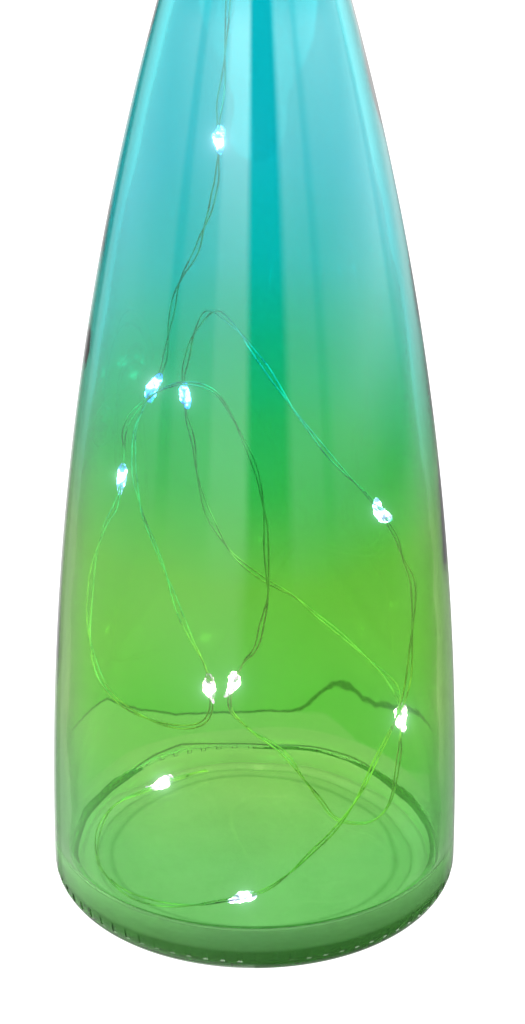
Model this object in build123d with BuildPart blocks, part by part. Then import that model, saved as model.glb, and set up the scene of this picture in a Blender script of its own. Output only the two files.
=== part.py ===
"""Cork bottle light: a tinted glass bottle, a stopper with a battery tray, and a string of lamps inside."""
import os
from math import radians, sqrt, tan

from build123d import *

os.makedirs("parts", exist_ok=True)

# Bottle, from the outside in
BODY_RADIUS = 40.0
BODY_SWEEP_RADIUS = 715.0
WIDEST_HEIGHT = 18.0
HEEL_RADIUS = 6.0
BEARING_WIDTH = 2.5
PUSH_UP = 1.2
SHOULDER_RADIUS = 128.0
NECK_RADIUS = 14.0
BOTTLE_HEIGHT = 300.0
LIP_RADIUS = 15.5
LIP_HEIGHT = 10.0
LIP_ROUND = 1.6
LIP_UNDER_ROUND = 0.8
WALL = 3.0
MOUTH_RADIUS = 10.0
MOUTH_CHAMFER = 0.6
FLOOR_HEIGHT = 9.5
FLOOR_CROWN = 1.0
FLOOR_CORNER_RADIUS = 1.8

# Stopper
HEAD_RADIUS = 12.5
HEAD_HEIGHT = 18.0
HEAD_ROUND = 1.2
HEAD_UNDER_ROUND = 0.6
PLUG_LENGTH = 24.0
PLUG_TAPER = 0.7
PLUG_CLEARANCE = 0.2
PLUG_END_CHAMFER = 0.5
NOTCH_RADIUS = 2.6
GROMMET_RADIUS = 1.5
GROMMET_FLANGE_RADIUS = 1.7
GROMMET_FLANGE = 0.7
GROMMET_LENGTH = 4.0
GROMMET_ROUND = 0.3

# Battery tray and its cap
TRAY_WALL = 1.8
CHAMBER_WALL = 0.6
TRAY_FLOOR = 2.0
TRAY_END_GAP = 0.5
TRAY_CLEARANCE = 0.2
PARTITION = 1.4
WINDOW_DEPTH = 1.4
GROOVE_WALL = 0.3
GROOVE_CLEARANCE = 0.1
CAP_RADIUS = 9.6
CAP_THICKNESS = 1.6
CAP_SPIGOT_WALL = 0.8
CAP_SPIGOT_LENGTH = 1.0
CAP_EDGE_CHAMFER = 0.3
CAP_RECESS = (7.6, 3.8)
CAP_RECESS_DEPTH = 0.6
CAP_RECESS_ROUND = 1.25

# Button cells, stacked with the can upwards
CELL_COUNT = 3
CELL_RADIUS = 5.8
CELL_HEIGHT = 5.4
CELL_CLEARANCE = 0.2
CELL_CAN_HEIGHT = 5.0
CELL_CAN_ROUND = 0.4
CELL_RIM = 0.6
CELL_GASKET_WIDTH = 0.6
CELL_RECESS = 0.8
CELL_GASKET_PROUD = 0.15
CELL_CAP_ROUND = 0.15

# Contacts
CONTACT_THICKNESS = 0.3
CONTACT_WIDTH = 2.0
LEAF_HEIGHT = 2.4
LEAF_REACH = 4.2
LEAF_BEND_RADIUS = 0.5
PLATE_SIZE = (7.0, 6.0)
PLATE_SLOT_CLEARANCE = 0.1
STRIP_GAP = 0.1
STRIP_SIDE_CLEARANCE = 0.1

# Circuit board, resistor and slide switch
BOARD_CLEARANCE = 0.15
BOARD_THICKNESS = 0.8
RESISTOR_SIZE = (2.0, 1.2, 0.6)
RESISTOR_OFFSET = 3.8
SWITCH_SIZE = (8.6, 3.7, 3.6)
SWITCH_SHELL = 0.8
SWITCH_TRAVEL = 2.0
KNOB_BASE = (3.0, 2.1, 1.0)
KNOB_STEM = (2.0, 1.5)
KNOB_CLEARANCE = 0.15
KNOB_PROUD = 0.6
KNOB_GROOVE = 0.3
KNOB_GROOVE_COUNT = 3

# Lamp string
WIRE_RADIUS = 0.4
WIRE_CLEARANCE = 0.2
WIRE_BEND_SHARE = 0.45
DROP_LENGTH = 4.4
DROP_RADIUS = 1.15
DROP_END_RADIUS = 0.6
DROP_BORE_CLEARANCE = 0.02
CHIP_SIZE = (1.6, 1.0, 0.4)
CHIP_CLEARANCE = 0.02
TIGHT_FIT = 0.02

# Heights and radii that follow from the sizes above
head_top = BOTTLE_HEIGHT + HEAD_HEIGHT
plug_bottom = BOTTLE_HEIGHT - PLUG_LENGTH
plug_radius = MOUTH_RADIUS - PLUG_CLEARANCE
cap_bottom = head_top - CAP_THICKNESS
board_top = cap_bottom - SWITCH_SIZE[2]
board_bottom = board_top - BOARD_THICKNESS
trough_top = board_bottom - PARTITION
cells_top = trough_top - CONTACT_THICKNESS
cells_bottom = cells_top - CELL_COUNT * CELL_HEIGHT
trough_bottom = cells_bottom - LEAF_HEIGHT
tray_bottom = trough_bottom - TRAY_FLOOR
trough_radius = CELL_RADIUS + CELL_CLEARANCE
tray_radius = trough_radius + TRAY_WALL
tray_bore_radius = tray_radius + TRAY_CLEARANCE
wire_hole_radius = WIRE_RADIUS + WIRE_CLEARANCE
groove_radius = WIRE_RADIUS + GROOVE_CLEARANCE
wire_x = -(trough_radius + GROOVE_WALL + groove_radius)
chamber_radius = tray_radius - CHAMBER_WALL
slot_length = KNOB_STEM[0] + SWITCH_TRAVEL + 2 * KNOB_CLEARANCE
slot_width = KNOB_STEM[1] + 2 * KNOB_CLEARANCE

# Places along the wire, from the stopper down to its loose end, each lamp on the run after the marked point
WIRE_ROUTE = [
    (wire_x, 0, plug_bottom),
    (wire_x, 0, 264),
    (-6.2, 0.5, 249),
    (-5.5, 1, 232),
    (-4.5, 2, 215),
    (-4.5, 2, 199),
    (-5.5, 1, 184),
    (-6, 0, 175.5),
    (-7, -1.5, 169.5),
    (-7, -0.5, 159),
    (-7.5, 1, 153.5),
    (-9, 3.5, 144),
    (-11.5, 7.5, 135.5),
    (-15, 13, 127.5),
    (-16.5, 17.5, 118.5),
    (-18, 22, 108),
    (-18.5, 24, 103),
    (-23, 21.5, 94.5),
    (-24.5, 16.5, 92),
    (-24, 7.5, 87),
    (-21.5, -2, 83.5),
    (-18.5, -11, 80.5),
    (-15.5, -20, 76.5),
    (-12.5, -27.5, 71),
    (-9, -30.5, 66.5),
    (-7.5, -31.5, 56.5),
    (-11.5, -31, 52),
    (-21.5, -26.5, 52),
    (-29, -18.5, 54.5),
    (-32, -11, 62),
    (-32, -3.5, 70.5),
    (-30, 4, 78.5),
    (-27.5, 9, 80.5),
    (-26.5, 17, 87.5),
    (-27, 16.5, 93.5),
    (-19, 18.5, 101.5),
    (-9, 21, 101),
    (-4, 24, 91),
    (0, 24.5, 81),
    (2, 23.5, 71),
    (2, 22.5, 60.5),
    (2.5, 22.5, 49.5),
    (0, 26, 37.5),
    (-3, 28.5, 33),
    (-6, 29.5, 23),
    (-2, 28.5, 19),
    (7, 23, 14.5),
    (12, 13.5, 11.4),
    (17.5, 2, 11),
    (26.5, 1.5, 12.6),
    (29, 4, 23.5),
    (29.5, 3, 29),
    (29, 9, 37.5),
    (27, 14, 38.5),
    (18, 21.5, 44),
    (8.5, 25.5, 49),
    (-1.5, 27, 55),
    (-8, 27, 64),
    (-12, 26.5, 75),
    (-13, 25.5, 86.5),
    (-14.5, 24, 92),
    (-14.5, 22, 102.5),
    (-13, 21.5, 108.5),
    (-10, 18, 118),
    (-7, 9, 123),
    (-2.5, -1, 122.5),
    (3.5, -9, 117.5),
    (9.5, -14, 109.5),
    (16.5, -17, 101.5),
    (21, -17.5, 97),
    (26, -16.5, 88),
    (27.5, -14, 82.5),
    (30.5, -10.5, 72),
    (30, -8, 61),
    (30, -8, 49.5),
    (25.5, -14.5, 41.5),
    (21, -22, 33.5),
    (14.5, -26.5, 25.5),
    (6.5, -28, 17.5),
    (2.4, -27, 13.1),
    (-7.8, -27, 10.6),
    (-13.5, -28.5, 10.5),
    (-22, -26.5, 10.4),
    (-29.5, -16.5, 10.4),
    (-32, -4, 10.5),
    (-30, 7.5, 10.6),
    (-24.5, 13.2, 11.3),
    (-14.5, 19.5, 11.8),
    (-9.5, 22, 11),
]
LAMP_AFTER_POINT = [8, 16, 24, 32, 43, 51, 60, 69, 79, 86]


def shoulder(body_sweep, neck):
    """Where the side's long arc meets the shoulder's hollow arc, and where that arc runs into the neck."""
    across = neck + SHOULDER_RADIUS - (BODY_RADIUS - BODY_SWEEP_RADIUS)
    apart = body_sweep + SHOULDER_RADIUS
    rise = sqrt(apart**2 - across**2)
    share = body_sweep / apart
    meet = (BODY_RADIUS - BODY_SWEEP_RADIUS + across * share, WIDEST_HEIGHT + rise * share)
    return meet, (neck, WIDEST_HEIGHT + rise)


def side_radius(body_sweep, height):
    """Radius of the side's long arc at a height."""
    return BODY_RADIUS - BODY_SWEEP_RADIUS + sqrt(body_sweep**2 - (height - WIDEST_HEIGHT) ** 2)


def bend_radii(route):
    """Arc radius at each corner of a route, as large as its two runs allow."""
    points = [Vector(*point) for point in route]
    radii = []
    for before, corner, after in zip(points, points[1:], points[2:]):
        run_in = corner - before
        run_out = after - corner
        turn = radians(run_in.get_angle(run_out))
        radii.append(WIRE_BEND_SHARE * min(run_in.length, run_out.length) / tan(turn / 2))
    return radii


def corner_at(sketch, across, up):
    """The corner of a section that lies nearest to a place."""
    return sketch.vertices().sort_by_distance((across, up, 0))[0]


def write(piece, name):
    """Name a finished piece and write it to its own file."""
    piece.part.label = name
    export_step(piece.part, f"parts/{name}.step")


# Glass bottle: a side of one long arc, a hollow shoulder, a straight neck with a lip, a pushed-up base
outer_meet, outer_neck = shoulder(BODY_SWEEP_RADIUS, NECK_RADIUS)
inner_meet, inner_neck = shoulder(BODY_SWEEP_RADIUS - WALL, MOUTH_RADIUS)
heel_corner = side_radius(BODY_SWEEP_RADIUS, 0)
bearing_inner = heel_corner - HEEL_RADIUS - BEARING_WIDTH
floor_corner = side_radius(BODY_SWEEP_RADIUS - WALL, FLOOR_HEIGHT)
lip_bottom = BOTTLE_HEIGHT - LIP_HEIGHT

with BuildPart() as bottle:
    with BuildSketch(Plane.XZ) as bottle_section:
        with BuildLine():
            TangentArc((0, PUSH_UP), (bearing_inner, 0), tangent=(1, 0))
            Line((bearing_inner, 0), (heel_corner, 0))
            RadiusArc((heel_corner, 0), outer_meet, -BODY_SWEEP_RADIUS)
            RadiusArc(outer_meet, outer_neck, SHOULDER_RADIUS)
            Polyline(
                outer_neck,
                (NECK_RADIUS, lip_bottom),
                (LIP_RADIUS, lip_bottom),
                (LIP_RADIUS, BOTTLE_HEIGHT),
                (MOUTH_RADIUS, BOTTLE_HEIGHT),
                inner_neck,
            )
            RadiusArc(inner_neck, inner_meet, -SHOULDER_RADIUS)
            RadiusArc(inner_meet, (floor_corner, FLOOR_HEIGHT), BODY_SWEEP_RADIUS - WALL)
            TangentArc((0, FLOOR_HEIGHT + FLOOR_CROWN), (floor_corner, FLOOR_HEIGHT), tangent=(1, 0))
            Line((0, FLOOR_HEIGHT + FLOOR_CROWN), (0, PUSH_UP))
        make_face()
        fillet(corner_at(bottle_section, heel_corner, 0), HEEL_RADIUS)
        fillet(corner_at(bottle_section, floor_corner, FLOOR_HEIGHT), FLOOR_CORNER_RADIUS)
        fillet(corner_at(bottle_section, LIP_RADIUS, lip_bottom), LIP_UNDER_ROUND)
        fillet(corner_at(bottle_section, LIP_RADIUS, BOTTLE_HEIGHT), LIP_ROUND)
        chamfer(corner_at(bottle_section, MOUTH_RADIUS, BOTTLE_HEIGHT), MOUTH_CHAMFER)
    revolve(axis=Axis.Z)
write(bottle, "bottle")

# Stopper shell: a head that sits on the lip and a tapered plug, bored from the top for the battery tray
with BuildPart() as cork_shell:
    with BuildSketch(Plane.XZ) as cork_section:
        with BuildLine():
            Polyline(
                (0, plug_bottom),
                (plug_radius - PLUG_TAPER, plug_bottom),
                (plug_radius, BOTTLE_HEIGHT),
                (HEAD_RADIUS, BOTTLE_HEIGHT),
                (HEAD_RADIUS, head_top),
                (0, head_top),
                close=True,
            )
        make_face()
        chamfer(corner_at(cork_section, plug_radius - PLUG_TAPER, plug_bottom), PLUG_END_CHAMFER)
        fillet(corner_at(cork_section, HEAD_RADIUS, BOTTLE_HEIGHT), HEAD_UNDER_ROUND)
        fillet(corner_at(cork_section, HEAD_RADIUS, head_top), HEAD_ROUND)
    revolve(axis=Axis.Z)
    with Locations((0, 0, head_top)):
        CounterBoreHole(
            tray_bore_radius,
            CAP_RADIUS + TRAY_CLEARANCE,
            CAP_THICKNESS,
            head_top - tray_bottom + TRAY_END_GAP,
        )
    with BuildSketch(Plane.XY.offset(head_top)):
        with Locations((0, -CAP_RADIUS)):
            Circle(NOTCH_RADIUS)
    extrude(amount=-CAP_THICKNESS, mode=Mode.SUBTRACT)
    with BuildSketch(Plane.XY.offset(plug_bottom)):
        with Locations((wire_x, 0)):
            Circle(wire_hole_radius)
    extrude(amount=tray_bottom - plug_bottom, mode=Mode.SUBTRACT)
    with BuildSketch(Plane.XY.offset(plug_bottom)):
        with Locations((wire_x, 0)):
            Circle(GROMMET_RADIUS + TIGHT_FIT)
    extrude(amount=GROMMET_LENGTH, mode=Mode.SUBTRACT)
write(cork_shell, "cork_shell")

# Rubber bush that the wire leaves the plug through
with BuildPart() as wire_grommet:
    with BuildSketch(Plane.XY.offset(plug_bottom - GROMMET_FLANGE)):
        with Locations((wire_x, 0)):
            Circle(GROMMET_FLANGE_RADIUS)
    extrude(amount=GROMMET_FLANGE)
    with BuildSketch(Plane.XY.offset(plug_bottom)):
        with Locations((wire_x, 0)):
            Circle(GROMMET_RADIUS)
    extrude(amount=GROMMET_LENGTH)
    with BuildSketch(Plane.XY.offset(plug_bottom - GROMMET_FLANGE)):
        with Locations((wire_x, 0)):
            Circle(wire_hole_radius)
    extrude(amount=GROMMET_FLANGE + GROMMET_LENGTH, mode=Mode.SUBTRACT)
    flange_edges = wire_grommet.edges().filter_by(GeomType.CIRCLE).group_by(Axis.Z)[0]
    fillet(flange_edges.sort_by(SortBy.RADIUS)[-1], GROMMET_ROUND)
write(wire_grommet, "wire_grommet")

# Battery tray: a trough for the cells with an open side, and a chamber on top for the board and the switch
strip_inner = trough_radius + STRIP_GAP
strip_outer = strip_inner + CONTACT_THICKNESS
strip_slot_width = CONTACT_WIDTH + 2 * STRIP_SIDE_CLEARANCE
tab_x = -(PLATE_SIZE[0] - CONTACT_THICKNESS) / 2

with BuildPart() as battery_tray:
    with BuildSketch(Plane.XY.offset(tray_bottom)):
        Circle(tray_radius)
    extrude(amount=cap_bottom - tray_bottom)
    with BuildSketch(Plane.XY.offset(board_bottom)):
        Circle(chamber_radius)
    extrude(amount=cap_bottom - board_bottom, mode=Mode.SUBTRACT)
    with BuildSketch(Plane.XY.offset(trough_bottom)):
        Circle(trough_radius)
        with Locations((0, -WINDOW_DEPTH)):
            Rectangle(2 * tray_radius, 2 * tray_radius, align=(Align.CENTER, Align.MAX))
    extrude(amount=trough_top - trough_bottom, mode=Mode.SUBTRACT)
    with BuildSketch(Plane.XY.offset(trough_bottom)):
        with Locations((CELL_RADIUS, 0)):
            Rectangle(
                strip_outer + STRIP_SIDE_CLEARANCE - CELL_RADIUS,
                strip_slot_width,
                align=(Align.MIN, Align.CENTER),
            )
    extrude(amount=board_bottom - trough_bottom, mode=Mode.SUBTRACT)
    with BuildSketch(Plane.XY.offset(trough_top)):
        with Locations((tab_x, 0)):
            Rectangle(CONTACT_THICKNESS + 2 * PLATE_SLOT_CLEARANCE, strip_slot_width)
    extrude(amount=PARTITION, mode=Mode.SUBTRACT)
    with BuildSketch(Plane.XY.offset(tray_bottom)):
        with Locations((wire_x, 0)):
            Circle(groove_radius)
            Rectangle(tray_radius, 2 * groove_radius, align=(Align.MAX, Align.CENTER))
    extrude(amount=board_bottom - tray_bottom, mode=Mode.SUBTRACT)
write(battery_tray, "battery_tray")

# Cap on the tray, flush with the stopper's head, with a recess round the switch knob
with BuildPart() as top_cap:
    with BuildSketch(Plane.XY.offset(cap_bottom)):
        Circle(CAP_RADIUS)
    extrude(amount=CAP_THICKNESS)
    chamfer(top_cap.edges().group_by(Axis.Z)[-1], CAP_EDGE_CHAMFER)
    with BuildSketch(Plane.XY.offset(cap_bottom - CAP_SPIGOT_LENGTH)):
        Circle(chamber_radius - TIGHT_FIT)
        Circle(chamber_radius - TIGHT_FIT - CAP_SPIGOT_WALL, mode=Mode.SUBTRACT)
    extrude(amount=CAP_SPIGOT_LENGTH)
    with BuildSketch(Plane.XY.offset(head_top)):
        RectangleRounded(*CAP_RECESS, CAP_RECESS_ROUND)
    extrude(amount=-CAP_RECESS_DEPTH, mode=Mode.SUBTRACT)
    with BuildSketch(Plane.XY.offset(head_top)):
        Rectangle(slot_length, slot_width)
    extrude(amount=-CAP_THICKNESS, mode=Mode.SUBTRACT)
write(top_cap, "top_cap")

# Circuit board under the switch, with its resistor
with BuildPart() as circuit_board:
    with BuildSketch(Plane.XY.offset(board_bottom)):
        Circle(chamber_radius - BOARD_CLEARANCE)
    extrude(amount=BOARD_THICKNESS)
write(circuit_board, "circuit_board")

with BuildPart() as resistor:
    with BuildSketch(Plane.XY.offset(board_top)):
        with Locations((0, RESISTOR_OFFSET)):
            Rectangle(RESISTOR_SIZE[0], RESISTOR_SIZE[1])
    extrude(amount=RESISTOR_SIZE[2])
write(resistor, "resistor")

# Slide switch: a boxed shell with a cavity for the knob's foot and a slot for its stem
knob_x = -SWITCH_TRAVEL / 2
cavity_height = KNOB_BASE[2] + 2 * KNOB_CLEARANCE
cavity_bottom = board_top + SWITCH_SHELL

with BuildPart() as switch_body:
    with BuildSketch(Plane.XY.offset(board_top)):
        Rectangle(SWITCH_SIZE[0], SWITCH_SIZE[1])
    extrude(amount=SWITCH_SIZE[2])
    with BuildSketch(Plane.XY.offset(cavity_bottom)):
        Rectangle(KNOB_BASE[0] + SWITCH_TRAVEL + 2 * KNOB_CLEARANCE, KNOB_BASE[1] + 2 * KNOB_CLEARANCE)
    extrude(amount=cavity_height, mode=Mode.SUBTRACT)
    with BuildSketch(Plane.XY.offset(cavity_bottom)):
        Rectangle(slot_length, slot_width)
    extrude(amount=cap_bottom - cavity_bottom, mode=Mode.SUBTRACT)
write(switch_body, "switch_body")

with BuildPart() as switch_knob:
    with BuildSketch(Plane.XY.offset(cavity_bottom + KNOB_CLEARANCE)):
        with Locations((knob_x, 0)):
            Rectangle(KNOB_BASE[0], KNOB_BASE[1])
    extrude(amount=KNOB_BASE[2])
    with BuildSketch(Plane.XY.offset(cavity_bottom + KNOB_CLEARANCE)):
        with Locations((knob_x, 0)):
            Rectangle(*KNOB_STEM)
    extrude(amount=head_top + KNOB_PROUD - cavity_bottom - KNOB_CLEARANCE)
    with BuildSketch(Plane.XY.offset(head_top + KNOB_PROUD)):
        with Locations((knob_x, 0)):
            with GridLocations(2 * KNOB_GROOVE, 0, KNOB_GROOVE_COUNT, 1):
                Rectangle(KNOB_GROOVE, KNOB_STEM[1])
    extrude(amount=-KNOB_GROOVE, mode=Mode.SUBTRACT)
write(switch_knob, "switch_knob")

# Positive contact: a plate over the top cell, with a tab up to the board
with BuildPart() as positive_contact:
    with BuildSketch(Plane.XY.offset(cells_top)):
        Rectangle(*PLATE_SIZE)
    extrude(amount=CONTACT_THICKNESS)
    with BuildSketch(Plane.XY.offset(cells_top)):
        with Locations((tab_x, 0)):
            Rectangle(CONTACT_THICKNESS, CONTACT_WIDTH)
    extrude(amount=board_bottom - cells_top)
write(positive_contact, "positive_contact")

# Negative contact: a sprung leaf under the lowest cell, with a strip up the side of the trough to the board
half_leaf = CONTACT_THICKNESS / 2
leaf_foot = trough_bottom + half_leaf
leaf_top = cells_bottom - half_leaf

with BuildPart() as negative_contact:
    with BuildSketch(Plane.XZ):
        with BuildLine():
            FilletPolyline(
                (strip_inner + half_leaf, board_bottom),
                (strip_inner + half_leaf, leaf_foot),
                (-LEAF_REACH, leaf_foot),
                (-LEAF_REACH, (leaf_foot + leaf_top) / 2),
                (-LEAF_REACH / 2, leaf_top),
                (LEAF_REACH / 2, leaf_top),
                radius=LEAF_BEND_RADIUS,
            )
        trace(line_width=CONTACT_THICKNESS)
    extrude(amount=CONTACT_WIDTH / 2, both=True)
write(negative_contact, "negative_contact")

# Button cells: a steel can, a sealing ring and the cap that stands proud of it
recess_radius = CELL_RADIUS - CELL_RIM
cell_cap_radius = recess_radius - CELL_GASKET_WIDTH

for number in range(1, CELL_COUNT + 1):
    cell_top = cells_top - (number - 1) * CELL_HEIGHT
    can_bottom = cell_top - CELL_CAN_HEIGHT

    with BuildPart() as button_cell:
        with BuildSketch(Plane.XY.offset(can_bottom)):
            Circle(CELL_RADIUS)
        extrude(amount=CELL_CAN_HEIGHT)
        fillet(button_cell.edges().group_by(Axis.Z)[-1], CELL_CAN_ROUND)
        with BuildSketch(Plane.XY.offset(can_bottom)):
            Circle(recess_radius)
        extrude(amount=CELL_RECESS, mode=Mode.SUBTRACT)
    write(button_cell, f"button_cell_{number}")

    with BuildPart() as cell_gasket:
        with BuildSketch(Plane.XY.offset(can_bottom - CELL_GASKET_PROUD)):
            Circle(recess_radius - TIGHT_FIT)
            Circle(cell_cap_radius + TIGHT_FIT, mode=Mode.SUBTRACT)
        extrude(amount=CELL_RECESS + CELL_GASKET_PROUD)
    write(cell_gasket, f"cell_gasket_{number}")

    with BuildPart() as cell_cap:
        with BuildSketch(Plane.XY.offset(cell_top - CELL_HEIGHT)):
            Circle(cell_cap_radius)
        extrude(amount=can_bottom + CELL_RECESS - cell_top + CELL_HEIGHT)
        fillet(cell_cap.edges().group_by(Axis.Z)[0], CELL_CAP_ROUND)
    write(cell_cap, f"cell_cap_{number}")

# Upper stretch of the wire, from the board down the tray's groove and through the plug
with BuildPart() as feed_wire:
    with BuildSketch(Plane.XY.offset(plug_bottom)):
        with Locations((wire_x, 0)):
            Circle(WIRE_RADIUS)
    extrude(amount=board_bottom - plug_bottom)
write(feed_wire, "feed_wire")

# Lamp wire, loose in the bottle
wire_radii = bend_radii(WIRE_ROUTE)

with BuildPart() as led_wire:
    with BuildLine() as wire_path:
        FilletPolyline(*WIRE_ROUTE, radius=wire_radii)
    with BuildSketch(Plane(WIRE_ROUTE[0], z_dir=(0, 0, -1))):
        Circle(WIRE_RADIUS)
    sweep(path=wire_path.wires()[0])
write(led_wire, "led_wire")
wire_length = wire_path.wires()[0].length
wire_section = led_wire.part.volume / wire_length
print("wire bend radii", [round(radius, 1) for radius in wire_radii])
print("wire length", round(wire_length, 1), "mean section", round(wire_section, 4))

# Lamps: a chip sealed in a drop of clear resin, each on a straight stretch of the wire
chip_seat = WIRE_RADIUS + DROP_BORE_CLEARANCE + CHIP_CLEARANCE
pocket_start = WIRE_RADIUS / 2

for number, point in enumerate(LAMP_AFTER_POINT, start=1):
    run_start = Vector(*WIRE_ROUTE[point])
    run_end = Vector(*WIRE_ROUTE[point + 1])
    along = Plane((run_start + run_end) / 2, z_dir=run_end - run_start)
    chip_plane = along.offset(-CHIP_SIZE[0] / 2)

    with BuildPart() as led_chip:
        with BuildSketch(chip_plane):
            with Locations((chip_seat, 0)):
                Rectangle(CHIP_SIZE[2], CHIP_SIZE[1], align=(Align.MIN, Align.CENTER))
        extrude(amount=CHIP_SIZE[0])
    write(led_chip, f"led_chip_{number}")

    with BuildPart() as led_drop:
        with BuildSketch(Plane(along.origin, x_dir=along.x_dir, z_dir=-along.y_dir)):
            with BuildLine():
                Line((0, -DROP_LENGTH / 2), (DROP_END_RADIUS, -DROP_LENGTH / 2))
                ThreePointArc(
                    (DROP_END_RADIUS, -DROP_LENGTH / 2),
                    (DROP_RADIUS, 0),
                    (DROP_END_RADIUS, DROP_LENGTH / 2),
                )
                Line((DROP_END_RADIUS, DROP_LENGTH / 2), (0, DROP_LENGTH / 2))
                Line((0, DROP_LENGTH / 2), (0, -DROP_LENGTH / 2))
            make_face()
        revolve(axis=Axis(along.origin, along.z_dir))
        with BuildSketch(along.offset(-DROP_LENGTH / 2)):
            Circle(WIRE_RADIUS + DROP_BORE_CLEARANCE)
        extrude(amount=DROP_LENGTH, mode=Mode.SUBTRACT)
        with BuildSketch(chip_plane.offset(-CHIP_CLEARANCE)):
            with Locations((pocket_start, 0)):
                Rectangle(
                    chip_seat + CHIP_SIZE[2] + CHIP_CLEARANCE - pocket_start,
                    CHIP_SIZE[1] + 2 * CHIP_CLEARANCE,
                    align=(Align.MIN, Align.CENTER),
                )
        extrude(amount=CHIP_SIZE[0] + 2 * CHIP_CLEARANCE, mode=Mode.SUBTRACT)
    write(led_drop, f"led_drop_{number}")
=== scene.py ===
"""A cork bottle light: a lacquered glass bottle, a cork with a battery tray, and a string of ten lamps."""
from math import atan2, cos, hypot, pi, radians, sin, sqrt

import bpy
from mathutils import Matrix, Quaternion, Vector, noise


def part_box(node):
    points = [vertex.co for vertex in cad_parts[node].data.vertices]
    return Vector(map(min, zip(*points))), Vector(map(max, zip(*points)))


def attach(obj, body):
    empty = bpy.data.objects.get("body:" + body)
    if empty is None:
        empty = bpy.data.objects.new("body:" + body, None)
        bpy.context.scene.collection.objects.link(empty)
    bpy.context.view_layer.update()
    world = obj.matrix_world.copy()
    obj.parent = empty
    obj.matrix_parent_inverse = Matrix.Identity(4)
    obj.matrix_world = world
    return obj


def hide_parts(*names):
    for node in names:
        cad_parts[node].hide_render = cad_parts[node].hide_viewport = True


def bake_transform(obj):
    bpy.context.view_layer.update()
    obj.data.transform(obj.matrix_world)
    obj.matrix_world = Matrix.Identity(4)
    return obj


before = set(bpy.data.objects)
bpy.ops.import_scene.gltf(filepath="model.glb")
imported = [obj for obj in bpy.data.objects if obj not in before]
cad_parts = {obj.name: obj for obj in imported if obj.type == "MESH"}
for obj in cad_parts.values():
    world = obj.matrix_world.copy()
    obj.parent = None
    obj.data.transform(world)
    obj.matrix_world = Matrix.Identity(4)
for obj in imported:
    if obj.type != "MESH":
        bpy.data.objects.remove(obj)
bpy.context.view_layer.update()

MM = 0.001

# Bottle sizes in millimetres, the same as the solid's
BODY_RADIUS = 40.0
SIDE_SWEEP = 715.0
WIDEST = 18.0
HEEL_ROUND = 6.0
BEARING = 2.5
PUSH_UP = 1.2
SHOULDER_SWEEP = 128.0
NECK_RADIUS = 14.0
BOTTLE_HEIGHT = 300.0
LIP_RADIUS = 15.5
LIP_HEIGHT = 10.0
LIP_ROUND = 1.6
LIP_UNDER_ROUND = 0.8
WALL = 3.0
MOUTH_RADIUS = 10.0
MOUTH_CHAMFER = 0.6
FLOOR = 9.5
FLOOR_CROWN = 1.0
FLOOR_CORNER = 1.8

# Its mesh: steps round the axis, where the inner wall's steps get closer, and the top of the uneven inside
SPIN_STEPS = 216
FINE_WALL_TOP = 36.0
INSIDE_TOP = 205.0
WELD = 0.002
SMOOTH_ANGLE = radians(35)

# Grip notches moulded round the heel, in millimetres, one on every third strip
NOTCH_EVERY = 3
NOTCH_LOW = 3.4
NOTCH_HIGH = 6.4
NOTCH_INSET = 0.2
NOTCH_DEPTH = 0.2

# Swells of the glass inside, in millimetres: they fade out down the wall to a small share on the floor
UNEVEN_WIDTH = 26
UNEVEN_DEPTH = 0.42
UNEVEN_FADE = 12
UNEVEN_ON_FLOOR = 0.15

# Round the bottle, in degrees from the far side to the right, and millimetres: where a settle wave in the glass shows
# as a dark line drawn as painted shade, the lower edge of the full coat, how wide that line is, and how far the
# floor's edge rises or dips
SETTLE_LINE = [
    (-180, 4.0), (-115, 4.0), (-85, 32.0), (-57, 30.0), (-40, 22.5), (-26, 18.8), (0, 17.1), (9, 17.0), (12, 17.4),
    (15, 18.1), (18, 19.9), (22, 23.3), (25, 25.2), (27, 25.9), (31, 26.5), (34, 26.5), (36, 25.6), (38, 24.6),
    (43, 24.8), (49, 25.8), (67, 29.4), (85, 32.0), (115, 4.0), (180, 4.0),
]
COAT_EDGE = [
    (-180, 4.0), (-115, 4.0), (-85, 32.0), (-57, 30.0), (-40, 22.5), (-26, 18.8), (0, 17.1), (16, 17.6), (24, 18.5),
    (30, 16.5), (36, 14.0), (60, 14.0), (74, 18.0), (85, 22.0), (115, 4.0), (180, 4.0),
]
SETTLE_WIDTH = [(-180, 0.5), (8, 0.5), (24, 1.5), (60, 1.2), (90, 0.6), (180, 0.5)]
FLOOR_EDGE_RISE = [
    (-180, 0.0), (-110, 0.0), (-80, -1.6), (-62, -2.6), (-48, -1.4), (-36, 0.8), (-25, 1.7), (-10, 0.2), (8, -0.6),
    (33, -0.2), (60, -1.7), (90, -0.6), (120, 0.0), (180, 0.0),
]

# The rise is whole at this radius, and fades out up the wall and towards the middle
RISE_RADIUS = 37.0
RISE_UP_WALL = 11
RISE_TO_MIDDLE = 7

# Dark line of painted shade in the corner of wall and floor: its half angle, wider towards the front, and its fade
CORNER_MARGIN = 0.3
CORNER_LINE = radians(6)
CORNER_WIDENING = 0.4
CORNER_FADE = 1.6

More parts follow.
